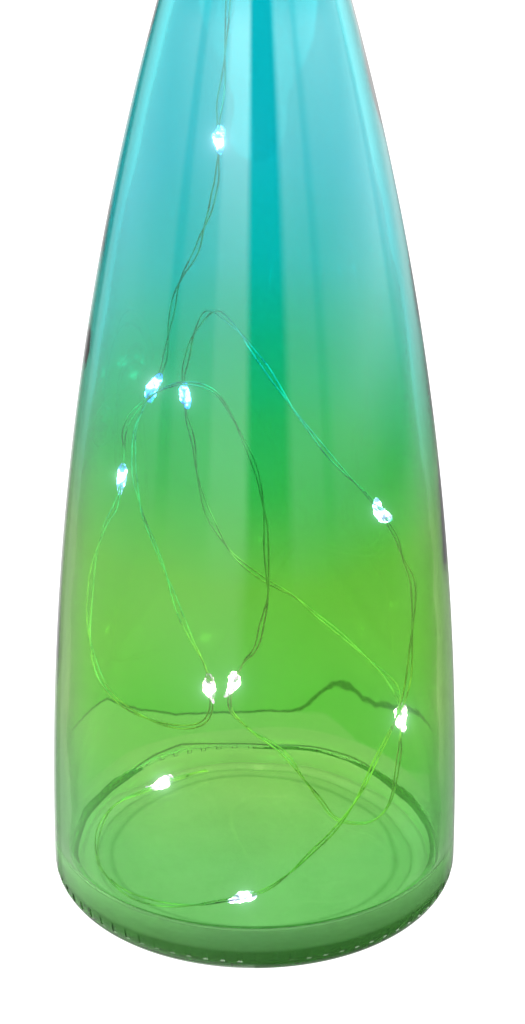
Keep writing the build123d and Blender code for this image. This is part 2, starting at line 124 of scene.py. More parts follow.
# Lamp wire, from the stopper to the loose end, in metres
STRAND_RADIUS = 0.17 * MM
STRAND_OFFSET = 0.25 * MM
STRAND_SPREAD = 0.3 * MM
STRAND_SPREAD_LENGTH = 14 * MM
STRAND_TURN = 38 * MM
HELD_REACH = 2.5 * MM
FREE_REACH = 5.5 * MM
WIRE_KINK = 0.35 * MM
WIRE_KINK_LENGTH = 8 * MM
WIRE_KINK_SEED = 2
WIRE_ROUTE = [
    (-0.0068, 0.0, 0.276), (-0.0068, 0.0, 0.264), (-0.0062, 0.0005, 0.249), (-0.0055, 0.001, 0.232),
    (-0.0045, 0.002, 0.215), (-0.0045, 0.002, 0.199), (-0.0055, 0.001, 0.184), (-0.006, 0.0, 0.1755),
    (-0.007, -0.0015, 0.1695), (-0.007, -0.0005, 0.159), (-0.0075, 0.001, 0.1535),
    (-0.009, 0.0035, 0.144), (-0.0115, 0.0075, 0.1355), (-0.015, 0.013, 0.1275),
    (-0.0165, 0.0175, 0.1185), (-0.018, 0.022, 0.108), (-0.0185, 0.024, 0.103), (-0.023, 0.0215, 0.0945),
    (-0.0245, 0.0165, 0.092), (-0.024, 0.0075, 0.087), (-0.0215, -0.002, 0.0835),
    (-0.0185, -0.011, 0.0805), (-0.0155, -0.02, 0.0765), (-0.0125, -0.0275, 0.071),
    (-0.009, -0.0305, 0.0665), (-0.0075, -0.0315, 0.0565), (-0.0115, -0.031, 0.052),
    (-0.0215, -0.0265, 0.052), (-0.029, -0.0185, 0.0545), (-0.032, -0.011, 0.062),
    (-0.032, -0.0035, 0.0705), (-0.03, 0.004, 0.0785), (-0.0275, 0.009, 0.0805), (-0.0265, 0.017, 0.0875),
    (-0.027, 0.0165, 0.0935), (-0.019, 0.0185, 0.1015), (-0.009, 0.021, 0.101), (-0.004, 0.024, 0.091),
    (0.0, 0.0245, 0.081), (0.002, 0.0235, 0.071), (0.002, 0.0225, 0.0605), (0.0025, 0.0225, 0.0495),
    (0.0, 0.026, 0.0375), (-0.003, 0.0285, 0.033), (-0.006, 0.0295, 0.023), (-0.002, 0.0285, 0.019),
    (0.007, 0.023, 0.0145), (0.012, 0.0135, 0.0114), (0.0175, 0.002, 0.011), (0.0265, 0.0015, 0.0126),
    (0.029, 0.004, 0.0235), (0.0295, 0.003, 0.029), (0.029, 0.009, 0.0375), (0.027, 0.014, 0.0385),
    (0.018, 0.0215, 0.044), (0.0085, 0.0255, 0.049), (-0.0015, 0.027, 0.055), (-0.008, 0.027, 0.064),
    (-0.012, 0.0265, 0.075), (-0.013, 0.0255, 0.0865), (-0.0145, 0.024, 0.092), (-0.0145, 0.022, 0.1025),
    (-0.013, 0.0215, 0.1085), (-0.01, 0.018, 0.118), (-0.007, 0.009, 0.123), (-0.0025, -0.001, 0.1225),
    (0.0035, -0.009, 0.1175), (0.0095, -0.014, 0.1095), (0.0165, -0.017, 0.1015), (0.021, -0.0175, 0.097),
    (0.026, -0.0165, 0.088), (0.0275, -0.014, 0.0825), (0.0305, -0.0105, 0.072), (0.03, -0.008, 0.061),
    (0.03, -0.008, 0.0495), (0.0255, -0.0145, 0.0415), (0.021, -0.022, 0.0335), (0.0145, -0.0265, 0.0255),
    (0.0065, -0.028, 0.0175), (0.0024, -0.027, 0.0131), (-0.0078, -0.027, 0.0106),
    (-0.0135, -0.0285, 0.0105), (-0.022, -0.0265, 0.0104), (-0.0295, -0.0165, 0.0104),
    (-0.032, -0.004, 0.0105), (-0.03, 0.0075, 0.0106), (-0.0245, 0.0132, 0.0113),
    (-0.0145, 0.0195, 0.0118), (-0.0095, 0.022, 0.011),
]
LAMP_AFTER_POINT = [8, 16, 24, 32, 43, 51, 60, 69, 79, 86]
LAMP_COUNT = len(LAMP_AFTER_POINT)
BOARD_UNDERSIDE = 0.312
FEED_STEPS = 36

# Resin beads: each is tapered and curled, rolled differently about the wire, and lumpy
BEAD_RADIUS = 1.0 * MM
BEAD_LENGTH = 6.2 * MM
BEAD_TAPER = 0.8
BEAD_CURL = radians(60)
BEAD_ROLL = radians(137)
LUMP_WIDTH = 1.8 * MM
LUMP_DEPTH = 1.2 * MM
LUMP_LEVEL = 0.44
GLOW_REACH = 4.0 * MM


def linear(hex_colour):
    """A hex sRGB colour as the linear values that a shader takes."""
    parts = [int(hex_colour[i:i + 2], 16) / 255 for i in (1, 3, 5)]
    return [c / 12.92 if c <= 0.04045 else ((c + 0.055) / 1.055) ** 2.4 for c in parts] + [1.0]


def node(tree, kind, settings=(), inputs=(), links=(), stops=()):
    """Add a node with its settings, socket values, links from other sockets, and colour stops."""
    made = tree.nodes.new(kind)
    for name, value in dict(settings).items():
        setattr(made, name, value)
    for name, value in dict(inputs).items():
        made.inputs[name].default_value = value
    for name, socket in dict(links).items():
        tree.links.new(socket, made.inputs[name])
    if stops:
        ramp = made.color_ramp.elements
        ramp[0].position, ramp[0].color = stops[0]
        ramp[1].position, ramp[1].color = stops[-1]
        for position, colour in stops[1:-1]:
            ramp.new(position).color = colour
    return made


def new_material(name, finish):
    """A node material with a Principled shader set to a finish: the material, its tree and the shader."""
    material = bpy.data.materials.new(name)
    material.use_nodes = True
    shader = material.node_tree.nodes["Principled BSDF"]
    for socket, value in finish.items():
        shader.inputs[socket].default_value = value
    return material, material.node_tree, shader


def mottled(tree, shader, size, low, high, detail=2.0):
    """Colour a shader by soft noise of a size in metres, between two stops of place and colour: the noise."""
    coords = node(tree, "ShaderNodeTexCoord")
    patches = node(
        tree, "ShaderNodeTexNoise", inputs={"Scale": 1 / size, "Detail": detail},
        links={"Vector": coords.outputs["Object"]},
    )
    tones = node(
        tree, "ShaderNodeValToRGB", links={"Fac": patches.outputs["Fac"]},
        stops=[(place, linear(colour)) for place, colour in (low, high)],
    )
    tree.links.new(tones.outputs["Color"], shader.inputs["Base Color"])
    return patches


def deselect():
    """Leave nothing selected, so that an operator acts only on what is picked next."""
    bpy.ops.object.select_all(action="DESELECT")


# Camera: a long lens that looks down on the lower part of the bottle, with the neck above the frame
LENS = 267.2
DISTANCE = 1.4844
ELEVATION = radians(28.29)
AIM = Vector((0, 0, 0.08906))
SHIFT = (8.0 / 1024, -28.2 / 1024)

camera_data = bpy.data.cameras.new("camera")
camera_data.lens = LENS
camera_data.sensor_width = 36
camera_data.shift_x, camera_data.shift_y = SHIFT
camera_data.clip_end = 40
camera = bpy.data.objects.new("camera", camera_data)
bpy.context.scene.collection.objects.link(camera)
camera.location = AIM + DISTANCE * Vector((0, -cos(ELEVATION), sin(ELEVATION)))
camera.rotation_euler = (pi / 2 - ELEVATION, 0, 0)
bpy.context.scene.camera = camera


# Lamp wire: two enamelled strands that run side by side, turn slowly about each other and kink a little
def route_line():
    """Places along the wire's smooth line, read from a spline through its route."""
    data = bpy.data.curves.new("wire_line", "CURVE")
    data.dimensions = "3D"
    spline = data.splines.new("NURBS")
    spline.points.add(len(WIRE_ROUTE) - 1)
    for point, place in zip(spline.points, WIRE_ROUTE):
        point.co = (*place, 1)
    spline.order_u = 3
    spline.use_endpoint_u = True
    spline.resolution_u = 10
    line = bpy.data.objects.new("wire_line", data)
    bpy.context.scene.collection.objects.link(line)
    bpy.context.view_layer.update()
    mesh = bpy.data.meshes.new_from_object(line.evaluated_get(bpy.context.evaluated_depsgraph_get()))
    places = [v.co.copy() for v in mesh.vertices]
    bpy.data.objects.remove(line)
    bpy.data.meshes.remove(mesh)
    return places


def freedom(place, held):
    """How free the strands are at a place: none near a held spot, rising to full beyond it."""
    nearest = min((place - spot).length for spot in held)
    share = min(max((nearest - HELD_REACH) / FREE_REACH, 0.0), 1.0)
    return share * share * (3 - 2 * share)


def strand_pair(name, places, held):
    """Two thin strands along a line, close together where they are held, as one mesh."""
    normal = Vector((0, 1, 0))
    travelled = 0.0
    sides = [[], []]
    for index, place in enumerate(places):
        ahead = places[min(index + 1, len(places) - 1)]
        behind = places[max(index - 1, 0)]
        along = (ahead - behind).normalized()
        if index:
            travelled += (place - places[index - 1]).length
        normal = (normal - along * normal.dot(along)).normalized()
        across = along.cross(normal)
        free = freedom(place, held)
        kink = free * WIRE_KINK * noise.noise_vector(place / WIRE_KINK_LENGTH)
        kink -= along * kink.dot(along)
        spread = STRAND_OFFSET + free * STRAND_SPREAD * (0.5 + noise.noise(place / STRAND_SPREAD_LENGTH))
        turn = 2 * pi * travelled / STRAND_TURN
        offset = spread * (normal * cos(turn) + across * sin(turn))
        sides[0].append(place + kink + offset)
        sides[1].append(place + kink - offset)
    data = bpy.data.curves.new(name, "CURVE")
    data.dimensions = "3D"
    data.bevel_depth = STRAND_RADIUS
    data.bevel_resolution = 2
    data.use_fill_caps = True
    for strand in sides:
        spline = data.splines.new("POLY")
        spline.points.add(len(strand) - 1)
        for point, place in zip(spline.points, strand):
            point.co = (*place, 1)
    piece = bpy.data.objects.new(name, data)
    bpy.context.scene.collection.objects.link(piece)
    deselect()
    piece.select_set(True)
    bpy.context.view_layer.objects.active = piece
    bpy.ops.object.convert(target="MESH")
    bpy.ops.object.shade_smooth()
    return bpy.context.view_layer.objects.active


wire_places = route_line()
wire_top = Vector(WIRE_ROUTE[0])
lamp_runs = [(Vector(WIRE_ROUTE[point]), Vector(WIRE_ROUTE[point + 1])) for point in LAMP_AFTER_POINT]
lamp_spots = [(start + end) / 2 for start, end in lamp_runs]
noise.seed_set(WIRE_KINK_SEED)  # unset, the vector noise would differ at each run
lamp_wire = strand_pair("lamp_wire", wire_places, lamp_spots + [wire_top])
feed_length = BOARD_UNDERSIDE - wire_top.z
feed_places = [wire_top + Vector((0, 0, feed_length * step / FEED_STEPS)) for step in range(FEED_STEPS + 1)]
feed_strands = strand_pair("feed_strands", feed_places, feed_places)


# Bottle, spun from its section: out along the underside, up the outside, and down the inside to the floor
def arc(start, end, centre, steps):
    """Points on a round arc about a centre, the start left out."""
    first = atan2(start[1] - centre[1], start[0] - centre[0])
    last = atan2(end[1] - centre[1], end[0] - centre[0])
    last += 2 * pi * round((first - last) / (2 * pi))
    radius = hypot(start[0] - centre[0], start[1] - centre[1])
    angles = [first + (last - first) * step / steps for step in range(1, steps + 1)]
    return [(centre[0] + radius * cos(angle), centre[1] + radius * sin(angle)) for angle in angles]


def side(sweep, height):
    """Radius of the side's long arc at a height."""
    return BODY_RADIUS - SIDE_SWEEP + sqrt(sweep ** 2 - (height - WIDEST) ** 2)


def shoulder(sweep, neck):
    """Where the side's arc meets the shoulder's hollow arc, and where that runs into the neck."""
    across = neck + SHOULDER_SWEEP - (BODY_RADIUS - SIDE_SWEEP)
    apart = sweep + SHOULDER_SWEEP
    rise = sqrt(apart ** 2 - across ** 2)
    share = sweep / apart
    return (BODY_RADIUS - SIDE_SWEEP + across * share, WIDEST + rise * share), (neck, WIDEST + rise)


def bottle_profile():
    """Radius and height in millimetres of each place on the bottle's section."""
    sweep_centre = (BODY_RADIUS - SIDE_SWEEP, WIDEST)
    meet, neck = shoulder(SIDE_SWEEP, NECK_RADIUS)
    inner_meet, inner_neck = shoulder(SIDE_SWEEP - WALL, MOUTH_RADIUS)
    bearing_out = side(SIDE_SWEEP, 0) - HEEL_ROUND
    bearing_in = bearing_out - BEARING
    push_up_radius = (bearing_in ** 2 + PUSH_UP ** 2) / (2 * PUSH_UP)
    points = [(0.0, PUSH_UP)]
    points += arc((0, PUSH_UP), (bearing_in, 0), (0, PUSH_UP - push_up_radius), 14)
    points += [(bearing_out, 0.0)]
    heel_top = (side(SIDE_SWEEP, HEEL_ROUND), HEEL_ROUND)
    points += arc((bearing_out, 0), heel_top, (heel_top[0] - HEEL_ROUND, HEEL_ROUND), 12)
    points += arc(heel_top, meet, sweep_centre, 60)
    points += arc(meet, neck, (neck[0] + SHOULDER_SWEEP, neck[1]), 30)
    lip_bottom = BOTTLE_HEIGHT - LIP_HEIGHT
    points += [(NECK_RADIUS, neck[1] + (lip_bottom - neck[1]) * share) for share in (0.3, 0.7, 1.0)]
    under = (LIP_RADIUS - LIP_UNDER_ROUND, lip_bottom + LIP_UNDER_ROUND)
    points += [(under[0], lip_bottom)]
    points += arc((under[0], lip_bottom), (LIP_RADIUS, under[1]), under, 5)
    top = (LIP_RADIUS - LIP_ROUND, BOTTLE_HEIGHT - LIP_ROUND)
    points += [(LIP_RADIUS, lip_bottom + LIP_HEIGHT / 2), (LIP_RADIUS, top[1])]
    points += arc((LIP_RADIUS, top[1]), (top[0], BOTTLE_HEIGHT), top, 7)
    points += [(MOUTH_RADIUS + MOUTH_CHAMFER, BOTTLE_HEIGHT), (MOUTH_RADIUS, BOTTLE_HEIGHT - MOUTH_CHAMFER)]
    bore = inner_neck[1] - BOTTLE_HEIGHT
    points += [(MOUTH_RADIUS, BOTTLE_HEIGHT + bore * share) for share in (0.3, 0.6, 1.0)]
    points += arc(inner_neck, inner_meet, (MOUTH_RADIUS + SHOULDER_SWEEP, inner_neck[1]), 30)
    corner_height = FLOOR + FLOOR_CORNER
    corner = side(SIDE_SWEEP - WALL, corner_height)
    edge = corner - FLOOR_CORNER
    low_wall = (side(SIDE_SWEEP - WALL, FINE_WALL_TOP), FINE_WALL_TOP)
    points += arc(inner_meet, low_wall, sweep_centre, 52)
    points += arc(low_wall, (corner, corner_height), sweep_centre, 24)
    points += arc((corner, corner_height), (edge, FLOOR), (edge, corner_height), 10)
    crown_radius = (edge ** 2 + FLOOR_CROWN ** 2) / (2 * FLOOR_CROWN)
    points += arc((edge, FLOOR), (0.0, FLOOR + FLOOR_CROWN), (0, FLOOR + FLOOR_CROWN - crown_radius), 14)
    return points


def between(table, at):
    """The value at a place in a table of places and values, in a straight line between its rows."""
    for (first, low), (last, high) in zip(table, table[1:]):
        if at <= last:
            return low + (high - low) * (at - first) / (last - first)
    return table[-1][1]


def from_far_side(place):
    """Degrees round the axis from the far side, to the right."""
    return atan2(place.x, place.y) * 180 / pi


def is_inside(place):
    """Whether a place in metres is on the glass's inner face, below the neck."""
    height = place.z / MM
    radius = hypot(place.x, place.y) / MM
    if height > INSIDE_TOP:
        return False
    if height < FLOOR + FLOOR_CORNER + 0.01:
        return height > FLOOR - 0.1 and radius < side(SIDE_SWEEP, height) - WALL / 2
    meet, neck = shoulder(SIDE_SWEEP, NECK_RADIUS)
    if height < meet[1]:
        return radius < side(SIDE_SWEEP, height) - WALL / 2
    hollow = neck[0] + SHOULDER_SWEEP - sqrt(SHOULDER_SWEEP ** 2 - (neck[1] - height) ** 2)
    return radius < hollow - WALL / 2


def model_bottle():
    """Spin the section round the axis into one closed body of glass, notched round its heel and uneven inside."""
    profile = [Vector((radius * MM, 0, height * MM)) for radius, height in bottle_profile()]
    deselect()
    bpy.ops.mesh.primitive_plane_add(size=2 * MM)
    piece = bpy.context.object
    piece.name = piece.data.name = "glass_bottle"
    bpy.ops.object.mode_set(mode="EDIT")
    bpy.ops.mesh.merge(type="CENTER")
    bpy.ops.transform.translate(value=profile[0])
    for before, after in zip(profile, profile[1:]):
        bpy.ops.mesh.extrude_vertices_move(TRANSFORM_OT_translate={"value": after - before})
    bpy.ops.mesh.select_all(action="SELECT")
    bpy.ops.mesh.spin(steps=SPIN_STEPS, angle=2 * pi, center=(0, 0, 0), axis=(0, 0, 1))
    bpy.ops.mesh.select_all(action="SELECT")
    bpy.ops.mesh.remove_doubles(threshold=WELD * MM)
    bpy.ops.mesh.normals_make_consistent(inside=False)

    # Strips of the heel are pressed in as short upright notches
    bpy.ops.mesh.select_all(action="DESELECT")
    bpy.ops.object.mode_set(mode="OBJECT")
    heel_inner = side(SIDE_SWEEP, 0) - HEEL_ROUND
    for face in piece.data.polygons:
        strip = int(atan2(face.center.y, face.center.x) % (2 * pi) / (2 * pi) * SPIN_STEPS)
        on_heel = hypot(face.center.x, face.center.y) > heel_inner * MM
        in_band = NOTCH_LOW * MM < face.center.z < NOTCH_HIGH * MM
        face.select = on_heel and in_band and strip % NOTCH_EVERY == 0
    bpy.ops.object.mode_set(mode="EDIT")
    bpy.ops.mesh.select_mode(type="FACE")
    bpy.ops.mesh.inset(thickness=NOTCH_INSET * MM, depth=-NOTCH_DEPTH * MM)
    bpy.ops.object.mode_set(mode="OBJECT")

    # Blown glass is uneven inside, where no mould touches it
    group = piece.vertex_groups.new(name="inside")
    for vertex in piece.data.vertices:
        if is_inside(vertex.co):
            on_wall = min(max((vertex.co.z / MM - FLOOR - FLOOR_CORNER) / UNEVEN_FADE, 0.0), 1.0)
            group.add([vertex.index], UNEVEN_ON_FLOOR + (1 - UNEVEN_ON_FLOOR) * on_wall, "REPLACE")
    swell = bpy.data.textures.new("inside_swell", "CLOUDS")
    swell.noise_scale = UNEVEN_WIDTH * MM
    swell.noise_depth = 1
    uneven = piece.modifiers.new("uneven", "DISPLACE")
    uneven.texture = swell
    uneven.texture_coords = "LOCAL"
    uneven.vertex_group = "inside"
    uneven.strength = UNEVEN_DEPTH * MM
    bpy.ops.object.modifier_apply(modifier="uneven")
    piece.vertex_groups.clear()

    # The floor's edge rises and dips, and each place keeps its height over the lacquer's lines and how near it is to
    # the corner's dark line of painted shade
    settle = piece.data.attributes.new("over_settle_line", "FLOAT", "POINT")
    coat_edge = piece.data.attributes.new("over_coat_edge", "FLOAT", "POINT")
    corner_shade = piece.data.attributes.new("corner_shade", "FLOAT", "POINT")
    corner = (side(SIDE_SWEEP - WALL, FLOOR + FLOOR_CORNER) - FLOOR_CORNER, FLOOR + FLOOR_CORNER)
    for vertex in piece.data.vertices:
        place = vertex.co
        turned = from_far_side(place)
        if is_inside(place):
            up_wall = min(max((place.z / MM - FLOOR - FLOOR_CORNER) / RISE_UP_WALL, 0.0), 1.0)
            to_middle = min(max((RISE_RADIUS - hypot(place.x, place.y) / MM) / RISE_TO_MIDDLE, 0.0), 1.0)
            hold = (1 - up_wall) ** 2 * (1 - to_middle) ** 2
            out, down = hypot(place.x, place.y) / MM - corner[0], corner[1] - place.z / MM
            if out > -CORNER_MARGIN and down > -CORNER_MARGIN:
                spread = CORNER_LINE * (1 + CORNER_WIDENING - CORNER_WIDENING * cos(radians(turned)))
                from_edge = abs(atan2(down, out) - pi / 4) / spread
                corner_shade.data[vertex.index].value = min(max(CORNER_FADE - from_edge, 0.0), 1.0)
            place.z += between(FLOOR_EDGE_RISE, turned) * hold * MM
        over = place.z / MM - between(SETTLE_LINE, turned)
        width = between(SETTLE_WIDTH, turned)
        settle.data[vertex.index].value = over / width
        coat_edge.data[vertex.index].value = place.z / MM - between(COAT_EDGE, turned)
    bpy.ops.object.shade_smooth_by_angle(angle=SMOOTH_ANGLE)
    return piece


def model_bead(number, start, end):
    """A lumpy drop of resin on the wire, with how near each place is to the lamp chip."""
    middle = (start + end) / 2
    deselect()
    bpy.ops.mesh.primitive_ico_sphere_add(subdivisions=5, radius=BEAD_RADIUS)
    piece = bpy.context.object
    piece.name = piece.data.name = f"resin_bead_{number}"
    piece.scale = (1, 1, BEAD_LENGTH / (2 * BEAD_RADIUS))
    bpy.ops.object.transform_apply(location=True, rotation=True, scale=True)
    run_down = piece.modifiers.new("run_down", "SIMPLE_DEFORM")
    run_down.deform_method = "TAPER"
    run_down.deform_axis = "Z"
    run_down.factor = BEAD_TAPER * (-1) ** number
    curl = piece.modifiers.new("curl", "SIMPLE_DEFORM")
    curl.deform_method = "BEND"
    curl.deform_axis = "X"
    curl.angle = BEAD_CURL
    for modifier in ("run_down", "curl"):
        bpy.ops.object.modifier_apply(modifier=modifier)
    along = (end - start).to_track_quat("Z", "Y")
    piece.rotation_euler = (along @ Quaternion((0, 0, 1), number * BEAD_ROLL)).to_euler()
    piece.location = middle
    bpy.ops.object.transform_apply(location=True, rotation=True, scale=True)
    lumps = bpy.data.textures.new("bead_lumps", "CLOUDS")
    lumps.noise_scale = LUMP_WIDTH
    lumpy = piece.modifiers.new("lumpy", "DISPLACE")
    lumpy.texture = lumps
    lumpy.texture_coords = "LOCAL"
    lumpy.strength = LUMP_DEPTH
    lumpy.mid_level = LUMP_LEVEL
    bpy.ops.object.modifier_apply(modifier="lumpy")
    bpy.ops.object.shade_smooth()
    low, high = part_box(f"led_chip_{number}")
    chip = (Vector(low) + Vector(high)) / 2
    lit = piece.data.attributes.new("lit", "FLOAT", "POINT")
    for vertex in piece.data.vertices:
        lit.data[vertex.index].value = max(1 - (vertex.co - chip).length / GLOW_REACH, 0.0)
    return piece


bottle = model_bottle()
beads = [model_bead(number, start, end) for number, (start, end) in enumerate(lamp_runs, start=1)]

# Floor, kept out of the glass's mirror reflections so that these show the studio round it
deselect()
bpy.ops.mesh.primitive_plane_add(size=30, location=(0, 0, 0))
floor = bpy.context.object
floor.name = "floor"
floor.visible_glossy = False

# Glass sprayed outside with a clear lacquer: a mirror-smooth skin, tinted from green low down to turquoise,
# a little cloudy where the spray lay thicker. The tint is one wall's, so two walls look deeper.
LACQUER_FADE = [
    (0, "#80cc78"), (11, "#88d07e"), (25, "#8ad27e"), (45, "#9ed474"), (65, "#9cd472"), (85, "#90cc6e"),
    (105, "#4ec690"), (125, "#2cccc0"), (150, "#22ccd4"), (180, "#30d0d7"), (220, "#48d2da"), (300, "#46c0cc"),
]
# Heel tint from the bottom up: green lacquer darkened by painted shade where the bottle meets the table, darkest at
# the bottom
HEEL_SHADE_FADE = [
    (0, "#0a2c05"), (4, "#0c3206"), (6.2, "#103a0a"), (7, "#26581f"), (8.5, "#2e6528"), (11, "#3e7e37"),
]
HEEL_TOP = HEEL_SHADE_FADE[-1][0]
FOOT_RINGS = [
    (20.0, "#ffffff"), (27.5, "#eef4ec"), (28.3, "#9cbc98"), (29.2, "#e8f0e6"), (30.6, "#e2ece0"),
    (31.2, "#a2c09e"), (32.2, "#dce8da"), (37.0, "#c4d6c2"),
]


def lacquer(name, edge_shade, settle_share):
    """Lacquered glass: greyed at a glancing view by painted edge shade, by one share, and marked by another with a
    dark line of painted shade where a settle wave is.
    """
    material, tree, shader = new_material(name, {"Transmission Weight": 1.0, "Roughness": 0.0, "IOR": 1.5})
    coords = node(tree, "ShaderNodeTexCoord")
    place = node(tree, "ShaderNodeSeparateXYZ", links={"Vector": coords.outputs["Object"]})
    spray = node(
        tree, "ShaderNodeTexNoise", inputs={"Scale": 1 / (30 * MM), "Detail": 3.0},
        links={"Vector": coords.outputs["Object"]},
    )
    drift = node(
        tree, "ShaderNodeMapRange", inputs={"To Min": -4 * MM, "To Max": 4 * MM},
        links={"Value": spray.outputs["Fac"]},
    )
    level = node(
        tree, "ShaderNodeMath", {"operation": "ADD"}, (), {0: place.outputs["Z"], 1: drift.outputs["Result"]}
    )
    height = node(
        tree, "ShaderNodeMapRange", inputs={"From Max": BOTTLE_HEIGHT * MM}, links={"Value": level.outputs["Value"]}
    )
    fade = node(
        tree, "ShaderNodeValToRGB", links={"Fac": height.outputs["Result"]},
        stops=[(low / BOTTLE_HEIGHT, linear(colour)) for low, colour in LACQUER_FADE],
    )
    # Painted shade: a dark line with a faint light edge where a settle wave in the glass darkens the view, on the
    # inside faces only
    settle = node(tree, "ShaderNodeAttribute", {"attribute_name": "over_settle_line"})
    rough = node(
        tree, "ShaderNodeTexNoise", inputs={"Scale": 1 / (2.5 * MM), "Detail": 4.0},
        links={"Vector": coords.outputs["Object"]},
    )
    fray = node(
        tree, "ShaderNodeMapRange", inputs={"To Min": -0.8, "To Max": 0.8}, links={"Value": rough.outputs["Fac"]}
    )
    over = node(
        tree, "ShaderNodeMath", {"operation": "ADD"}, (), {0: settle.outputs["Fac"], 1: fray.outputs["Result"]}
    )
    across_line = node(
        tree, "ShaderNodeMapRange", inputs={"From Min": -4.0, "From Max": 4.0},
        links={"Value": over.outputs["Value"]},
    )
    line = node(
        tree, "ShaderNodeValToRGB", links={"Fac": across_line.outputs["Result"]},
        stops=[
            (0.0, linear("#ffffff")), (0.4, linear("#ffffff")), (0.46, linear("#587c4e")), (0.53, linear("#587c4e")),
            (0.6, linear("#f0f8ec")), (1.0, linear("#ffffff")),
        ],
    )
    coat_edge = node(tree, "ShaderNodeAttribute", {"attribute_name": "over_coat_edge"})
    wiped = node(
        tree, "ShaderNodeMapRange", inputs={"From Min": -0.7, "From Max": 0.1, "To Min": settle_share, "To Max": 0.0},
        links={"Value": coat_edge.outputs["Fac"]},
    )
    coat = node(
        tree, "ShaderNodeMix", {"data_type": "RGBA"}, {7: linear("#c4dccc")},
        {0: wiped.outputs["Result"], 6: fade.outputs["Color"]},
    )
    settle_line_shade = node(
        tree, "ShaderNodeMix", {"data_type": "RGBA", "blend_type": "MULTIPLY"}, {0: settle_share},
        {6: coat.outputs[2], 7: line.outputs["Color"]},
    )
    # Painted shade: the corner of wall and floor is darkened to near-black green
    corner_shade = node(tree, "ShaderNodeAttribute", {"attribute_name": "corner_shade"})
    painted_corner_shade = node(
        tree, "ShaderNodeMix", {"data_type": "RGBA"}, {7: linear("#0a2410")},
        {0: corner_shade.outputs["Fac"], 6: settle_line_shade.outputs[2]},
    )
    # Painted edge shade: the tint is multiplied towards grey where the glass is seen at a glancing angle, partly for
    # the lacquer's longer path there and partly as painted shade of the darker studio at the bottle's edges
    glance = node(tree, "ShaderNodeLayerWeight", inputs={"Blend": 0.5})
    edge = node(
        tree, "ShaderNodeMapRange", {"interpolation_type": "SMOOTHSTEP"},
        {"From Min": 0.45, "From Max": 0.76, "To Max": edge_shade}, {"Value": glance.outputs["Facing"]},
    )
    tint = node(
        tree, "ShaderNodeMix", {"data_type": "RGBA", "blend_type": "MULTIPLY"}, {7: linear("#8e9c94")},
        {0: edge.outputs["Result"], 6: painted_corner_shade.outputs[2]},
    )
    tree.links.new(tint.outputs[2], shader.inputs["Base Color"])
    ripple = node(
        tree, "ShaderNodeTexNoise", inputs={"Scale": 1 / (24 * MM), "Detail": 1.0},
        links={"Vector": coords.outputs["Object"]},
    )
    skin = node(
        tree, "ShaderNodeBump", inputs={"Strength": 0.15, "Distance": 0.2 * MM},
        links={"Height": ripple.outputs["Fac"]},
    )
    tree.links.new(skin.outputs["Normal"], shader.inputs["Normal"])
    return material


lacquered_glass = lacquer("lacquered_glass", 1.0, 0.0)
lacquered_inside = lacquer("lacquered_glass_inside", 0.0, 1.0)

# Bare soda glass of the floor inside: clear, with the faint green of its iron, and gently lumpy
bare_glass, tree, shader = new_material("bare_soda_glass", {"Transmission Weight": 1.0, "Roughness": 0.0, "IOR": 1.5})
lumps = mottled(tree, shader, 9 * MM, (0.3, "#e0f2de"), (0.7, "#f0faee"))
skin = node(
    tree, "ShaderNodeBump", inputs={"Strength": 0.4, "Distance": 0.3 * MM}, links={"Height": lumps.outputs["Fac"]}
)
tree.links.new(skin.outputs["Normal"], shader.inputs["Normal"])

# Underside of the foot, stippled by the mould, with the rings of its edge: it lets light through but scatters it
stippled_foot, tree, shader = new_material("stippled_foot_glass", {"Transmission Weight": 1.0, "IOR": 1.5})
coords = node(tree, "ShaderNodeTexCoord")
stipple = node(
    tree, "ShaderNodeTexNoise", inputs={"Scale": 1 / (1.5 * MM), "Detail": 2.0},
    links={"Vector": coords.outputs["Object"]},
)
grain = node(
    tree, "ShaderNodeValToRGB", links={"Fac": stipple.outputs["Fac"]},
    stops=[(0.3, linear("#c8e4c6")), (0.7, linear("#d8ecd6"))],
)
flat = node(tree, "ShaderNodeVectorMath", {"operation": "MULTIPLY"}, {1: (1, 1, 0)}, {0: coords.outputs["Object"]})
radius = node(tree, "ShaderNodeVectorMath", {"operation": "LENGTH"}, (), {0: flat.outputs["Vector"]})
out = node(
    tree, "ShaderNodeMapRange", inputs={"From Max": BODY_RADIUS * MM}, links={"Value": radius.outputs["Value"]}
)
ring = node(
    tree, "ShaderNodeValToRGB", links={"Fac": out.outputs["Result"]},
    stops=[(from_axis / BODY_RADIUS, linear(colour)) for from_axis, colour in FOOT_RINGS],
)
tint = node(
    tree, "ShaderNodeMix", {"data_type": "RGBA", "blend_type": "MULTIPLY"}, {0: 1.0},
    {6: grain.outputs["Color"], 7: ring.outputs["Color"]},
)
tree.links.new(tint.outputs[2], shader.inputs["Base Color"])
haze = node(
    tree, "ShaderNodeMapRange", inputs={"To Min": 0.25, "To Max": 0.5}, links={"Value": stipple.outputs["Fac"]}
)
tree.links.new(haze.outputs["Result"], shader.inputs["Roughness"])

